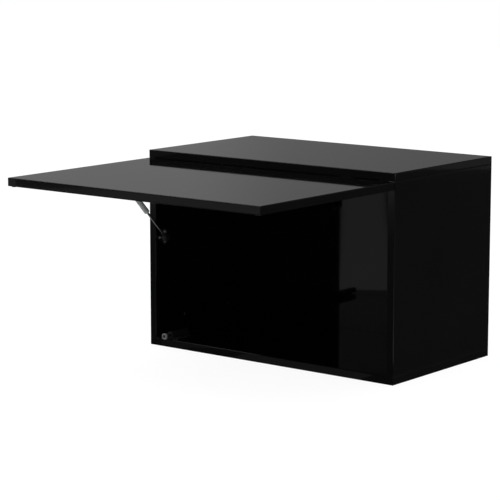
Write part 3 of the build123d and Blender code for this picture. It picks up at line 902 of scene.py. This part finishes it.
@dataclass
class WallHangers:
    """Adjustable hangers in the upper rear corners.

    Attributes:
        face_x: Inner face of the housings, from the cabinet's middle.
        screw_y: Line of the fixing screws.
        screw_z: Heights of the fixing screws.
    """

    face_x: float = 266.0
    screw_y: float = 120.0
    screw_z: Pair = (335.0, 371.0)

    def build(self) -> None:
        """Dress the hangers and drive two screws through each housing into its side panel."""
        for side in ("left", "right"):
            dress(f"hanger_housing_{side}", f"hanger_hook_{side}")
        dress("hanger_adjusters")
        places = [facing.at((x, self.screw_y, z))
                  for facing, x in ((Facing.RIGHT, -self.face_x), (Facing.LEFT, self.face_x))
                  for z in self.screw_z]
        Screw(shank_length=29.0).drive_at("hanger_screws", places, Body.CARCASS)


class Fade(Enum):
    """Ways in which a studio card changes colour: a direction, or the turn round the set."""

    ALONG = (-0.64, -0.77, 0.0)
    ROUND = None

    def share(self, tree: bpy.types.NodeTree, place: bpy.types.NodeSocket,
              reach: float) -> bpy.types.NodeSocket:
        """Add the nodes that measure the change.

        Args:
            tree: Node tree of the card.
            place: Socket of the place on it.
            reach: Half the distance over which a direction is measured, in metres.

        Returns:
            Socket that goes from 0 to 1.
        """
        if self is Fade.ROUND:
            return add_node(tree, "ShaderNodeTexGradient", links={"Vector": place},
                            gradient_type="RADIAL").outputs["Fac"]
        line = add_node(tree, "ShaderNodeVectorMath", {1: self.value}, {0: place},
                        operation="DOT_PRODUCT")
        return add_node(tree, "ShaderNodeMapRange", {"From Min": -reach, "From Max": reach},
                        {"Value": line.outputs["Value"]}).outputs["Result"]


# Colours of the large cards by share, painted reflections that only the gloss shows: the curtain's
# go round the set, the others along it.
CURTAIN_REFLECTION_TONES = {0.0: "#cccccc", 0.06: "#cccccc", 0.1: "#555555", 0.37: "#555555",
                 0.4: "#ffffff", 0.54: "#ffffff", 0.59: "#656565", 0.8: "#6c6c6c",
                 0.825: "#6e6e6e", 0.857: "#7a7a7a", 0.873: "#8c8c8c", 0.905: "#8e8e8e",
                 0.96: "#cccccc"}
CEILING_REFLECTION_TONES = {0.0: "#3a3a3a", 1.0: "#444444"}
CLOTH_REFLECTION_TONES = {0.27: "#3b3b3b", 0.5: "#3a3a3a", 0.74: "#424242", 0.83: "#5e5e5e",
               0.89: "#848484"}


@dataclass(frozen=True)
class Board:
    """A plain glowing board that only the gloss shows, a painted reflection, lying on the floor or
    standing on edge above it.

    Attributes:
        name: Name of the board.
        colour: Colour of its painted reflection.
        start: One end of its middle line, in metres.
        end: Other end of that line.
        width: Width of the board.
        lift: Height of the middle line of a board that stands, or 0 for one that lies.
    """

    name: str
    colour: str
    start: Pair
    end: Pair
    width: float
    lift: float = 0.0

    def shape(self) -> bmesh.types.BMesh:
        """Cut the board to size and put it in place.

        Returns:
            Its mesh, in metres.
        """
        middle = (Vector(self.start) + Vector(self.end)) / 2
        line = Vector(self.end) - Vector(self.start)
        turn = Matrix.Rotation(math.atan2(line.y, line.x), 4, "Z")
        place = Matrix.Translation((*middle, self.lift)) @ turn
        if self.lift:
            place = place @ Matrix.Rotation(math.pi / 2, 4, "X")
        made = bmesh.new()
        bmesh.ops.create_grid(made, x_segments=1, y_segments=1, size=0.5,
                              matrix=place @ Matrix.Diagonal((line.length, self.width, 1.0, 1.0)))
        return made


@dataclass
class Studio:
    """Pale floor, soft light, glowing cards that paint what the gloss mirrors, and the camera.

    Attributes:
        camera_place: Camera position in metres.
        camera_yaw: Turn from +Y to the right, in radians.
        camera_pitch: Tilt upwards, in radians.
        camera_reach: How far the camera sees, in metres.
        lens: Focal length in millimetres.
        sensor: Width of the sensor in millimetres.
        sky_fill: Strength of the world where it only lights.
        sky_white: Strength of the world where it is seen.
        floor_size: Side of the floor, in metres.
        floor_drop: How far the floor lies below the cabinet, in millimetres.
        floor_colour: Its colour where it only lights.
        floor_faint: Part of its colour that takes the shadow where it is seen.
        floor_glow: Strength of its white where it is seen.
        curtain_radius: Radius of the grey curtain of painted reflection round the set.
        curtain_height: Height of the curtain.
        curtain_facets: Faces round the curtain, the ceiling and the cloth.
        ceiling_drop: Height of the ceiling above the curtain.
        cloth_drop: How far the dark cloth of painted reflection lies below the cabinet, in
            millimetres.
        boards: Reflector boards near the cabinet, glowing cards of painted reflection.
        lamp_size: Sides of the soft lamp, in metres.
        lamp_power: Power of the lamp, in watts.
        lamp_place: Where it hangs.
        lamp_aim: Where it points.
    """

    camera_place: Point = (2.41775, -3.25875, 0.87976)
    camera_yaw: float = -0.671746
    camera_pitch: float = -0.165052
    camera_reach: float = 60.0
    lens: float = 147.77
    sensor: float = 36.0
    sky_fill: float = 0.8
    sky_white: float = 1.0
    floor_size: float = 16.0
    floor_drop: float = 0.5
    floor_colour: str = "#e4e4e2"
    floor_faint: str = "#6a6a6a"
    floor_glow: float = 0.92
    curtain_radius: float = 3.3
    curtain_height: float = 1.3
    curtain_facets: int = 96
    ceiling_drop: float = 0.9
    cloth_drop: float = 0.2
    boards: tuple[Board, ...] = (
        Board("left_board", "#898989", (-0.301, -0.299), (-1.4, -1.83), 0.13),
        Board("right_board", "#ffffff", (0.53, -0.16), (2.43, -1.66), 0.32),
        Board("front_board", "#626262", (-0.09, -0.19), (0.22, -0.19), 0.07),
        Board("middle_board", "#505050", (-0.165, -0.226), (-0.25, -0.33), 0.24),
        Board("side_board", "#989898", (-0.34, 0.12), (-1.7, 0.12), 0.6),
        Board("low_screen", "#898989", (-0.736, -1.023), (-0.854, -0.939), 0.25, 0.305),
    )
    lamp_size: Pair = (2.4, 1.8)
    lamp_power: float = 22.0
    lamp_place: Point = (-0.5, -0.7, 2.1)
    lamp_aim: Point = (0.0, 0.0, 0.2)

    def build(self) -> None:
        """Set up the whole studio."""
        bpy.context.scene.view_settings.view_transform = "Standard"
        self.light_world()
        self.lay_floor()
        self.hang_curtain()
        self.hang_ceiling()
        self.lay_cloth()
        # Each board glows only in the gloss: a painted reflection.
        for board in self.boards:
            self.card(board.name, board.shape(), Fade.ALONG, {0.0: board.colour, 1.0: board.colour})
        self.hang_softbox()
        self.set_camera()

    @staticmethod
    def seen(tree: bpy.types.NodeTree) -> bpy.types.NodeSocket:
        """Tell rays that show a surface from rays that only light others.

        Args:
            tree: Node tree that gets the nodes.

        Returns:
            Socket that is 1 for rays from the camera, a mirror image or clear material.
        """
        path = add_node(tree, "ShaderNodeLightPath").outputs
        first = add_node(tree, "ShaderNodeMath", operation="MAXIMUM",
                         links={0: path["Is Camera Ray"], 1: path["Is Glossy Ray"]})
        both = add_node(tree, "ShaderNodeMath", operation="MAXIMUM",
                        links={0: first.outputs[0], 1: path["Is Transmission Ray"]})
        return both.outputs[0]

    def light_world(self) -> None:
        """White background where it is seen, softer light where it only lights."""
        world = bpy.data.worlds.new("white_studio")
        bpy.context.scene.world = world
        tree = empty_tree(world)
        level = add_node(tree, "ShaderNodeMapRange",
                         {"To Min": self.sky_fill, "To Max": self.sky_white},
                         {"Value": self.seen(tree)})
        sky = add_node(tree, "ShaderNodeBackground", {"Color": linear("#ffffff")},
                       {"Strength": level.outputs["Result"]})
        add_node(tree, "ShaderNodeOutputWorld", links={"Surface": sky.outputs["Background"]})

    def lay_floor(self) -> None:
        """Pale floor that shows white, with the cabinet's soft shadow on it."""
        shape = bmesh.new()
        bmesh.ops.create_grid(shape, x_segments=1, y_segments=1, size=self.floor_size / 2,
                              matrix=Matrix.Translation((0, 0, -self.floor_drop * MM)))
        made = bpy.data.materials.new("pale_floor")
        tree = empty_tree(made)
        lit = add_node(tree, "ShaderNodeBsdfDiffuse", {"Color": linear(self.floor_colour)})
        faint = add_node(tree, "ShaderNodeBsdfDiffuse", {"Color": linear(self.floor_faint)})
        glow = add_node(tree, "ShaderNodeEmission",
                        {"Color": linear("#ffffff"), "Strength": self.floor_glow})
        white = add_node(tree, "ShaderNodeAddShader",
                         links={0: faint.outputs[0], 1: glow.outputs[0]})
        both = add_node(tree, "ShaderNodeMixShader",
                        links={0: self.seen(tree), 1: lit.outputs[0], 2: white.outputs[0]})
        add_node(tree, "ShaderNodeOutputMaterial", links={"Surface": both.outputs[0]})
        self.put("floor", shape, made)

    def drum(self, low: float, height: float, cap_ends: bool) -> bmesh.types.BMesh:
        """Make a drum as wide as the curtain.

        Args:
            low: Height of its lower end, in metres.
            height: Its own height.
            cap_ends: Whether its ends are closed.

        Returns:
            The drum's mesh.
        """
        shape = bmesh.new()
        bmesh.ops.create_cone(shape, segments=self.curtain_facets, cap_ends=cap_ends,
                              radius1=self.curtain_radius, radius2=self.curtain_radius,
                              depth=height, matrix=Matrix.Translation((0, 0, low + height / 2)))
        return shape

    def hang_curtain(self) -> None:
        """Painted reflection: a glowing curtain round the set that only the gloss shows, with white
        and dark panels.
        """
        self.card("curtain", self.drum(0.0, self.curtain_height, False), Fade.ROUND, CURTAIN_REFLECTION_TONES)

    def hang_ceiling(self) -> None:
        """Painted reflection: a dark glowing ceiling that only the gloss shows, with a drop down to
        the curtain.
        """
        shape = self.drum(self.curtain_height, self.ceiling_drop, True)
        low = [f for f in shape.faces if f.normal.z < LOOKS_DOWN]
        bmesh.ops.delete(shape, geom=low, context="FACES_ONLY")
        self.card("ceiling", shape, Fade.ALONG, CEILING_REFLECTION_TONES)

    def lay_cloth(self) -> None:
        """Painted reflection: a dark glowing cloth on the floor that only the gloss shows, grey at
        its far end in front.
        """
        shape = bmesh.new()
        bmesh.ops.create_circle(shape, cap_ends=True, segments=self.curtain_facets,
                                radius=self.curtain_radius,
                                matrix=Matrix.Translation((0, 0, -self.cloth_drop * MM)))
        self.card("cloth", shape, Fade.ALONG, CLOTH_REFLECTION_TONES)

    def card(self, name: str, shape: bmesh.types.BMesh, fade: Fade,
             stops: dict[float, str]) -> None:
        """Set up a glowing card that only the gloss shows: a painted reflection.

        Args:
            name: Name of the card.
            shape: Its mesh, in metres.
            fade: How its colour changes.
            stops: Colours by their share of that change.
        """
        made = bpy.data.materials.new(name)
        tree = empty_tree(made)
        place = add_node(tree, "ShaderNodeTexCoord").outputs["Object"]
        share = fade.share(tree, place, self.curtain_radius)
        colour = add_node(tree, "ShaderNodeValToRGB", links={"Fac": share})
        fill_ramp(colour.color_ramp, stops)
        glow = add_node(tree, "ShaderNodeEmission", {"Strength": 1.0},
                        {"Color": colour.outputs["Color"]})
        add_node(tree, "ShaderNodeOutputMaterial", links={"Surface": glow.outputs["Emission"]})
        hung = self.put(name, shape, made)
        for ray in ("camera", "diffuse", "shadow", "transmission"):
            setattr(hung, f"visible_{ray}", False)

    @staticmethod
    def put(name: str, shape: bmesh.types.BMesh, material: bpy.types.Material) -> bpy.types.Object:
        """Make a stage object of a shape and its material.

        Args:
            name: Name of the object.
            shape: Its mesh, in metres.
            material: Its surface.

        Returns:
            The object.
        """
        mesh = as_mesh(shape, name)
        mesh.materials.append(material)
        made = add_object(name, mesh)
        return made

    def hang_softbox(self) -> None:
        """Large soft lamp above the cabinet."""
        lamp = bpy.data.lights.new("softbox", "AREA")
        lamp.shape = "RECTANGLE"
        lamp.size, lamp.size_y = self.lamp_size
        lamp.energy = self.lamp_power
        made = add_object("softbox", lamp)
        made.location = self.lamp_place
        aim = Vector(self.lamp_aim) - made.location
        made.rotation_euler = aim.to_track_quat("-Z", "Y").to_euler()

    def set_camera(self) -> None:
        """Camera at the photograph's viewing angle."""
        lens = bpy.data.cameras.new("camera")
        lens.lens = self.lens
        lens.sensor_width = self.sensor
        lens.clip_end = self.camera_reach
        made = add_object("camera", lens)
        level = math.cos(self.camera_pitch)
        forward = Vector((math.sin(self.camera_yaw) * level, math.cos(self.camera_yaw) * level,
                          math.sin(self.camera_pitch)))
        made.location = self.camera_place
        made.rotation_euler = forward.to_track_quat("-Z", "Y").to_euler()
        bpy.context.scene.camera = made


def main() -> None:
    """Dress the cabinet, sub-assembly by sub-assembly, and set up the studio."""
    logging.basicConfig(level=logging.INFO, format="%(message)s")
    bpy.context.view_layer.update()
    for assembly in (Carcass(), CupHinges(), Door(), GasStrut(), PushLatch(), WallHangers()):
        assembly.build()
    Studio().build()


if __name__ == "__main__":
    main()
